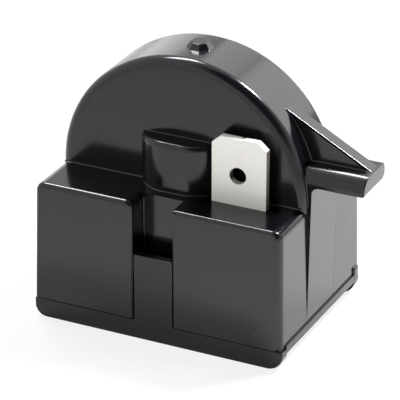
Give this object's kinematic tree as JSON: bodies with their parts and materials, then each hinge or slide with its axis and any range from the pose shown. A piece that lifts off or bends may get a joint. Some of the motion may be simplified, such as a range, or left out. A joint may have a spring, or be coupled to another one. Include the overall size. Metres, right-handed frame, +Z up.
{
  "type": "compressor start relay",
  "caption": "Black moulded plug-on start relay with a round-topped disc housing, side arm, flat connection tab and pin sockets in its base.",
  "frame": {"origin": "middle of the front foot's underside, midway across the lower block", "axes": "+X along the front towards the side arm, +Y from the front blocks to the back, +Z up from the feet to the round top"},
  "size_m": [0.0349, 0.0201, 0.0302],
  "materials": {
    "housing_black": "glossy moulded thermoset",
    "cover_black": "glossy moulded thermoset",
    "tinned_brass": "tinned, satin",
    "spring_steel": "bright spring steel",
    "strap_brass": "plain rolled strip",
    "rivet_brass": "formed heads",
    "contact_steel": "stainless leaf",
    "disc_ceramic": "fired ceramic with silvered faces"
  },
  "bodies": {
    "root": {"housing": "housing_black", "base_cover": "cover_black", "tab_terminal": "tinned_brass", "start_terminal": "tinned_brass", "run_socket_spring": "spring_steel", "start_socket_spring": "spring_steel", "run_strap": "strap_brass", "start_strap": "strap_brass", "run_rivet": "rivet_brass", "start_rivet": "rivet_brass", "front_contact_spring": "contact_steel", "rear_contact_spring": "contact_steel", "ptc_disc": "disc_ceramic"}
  },
  "joints": []
}
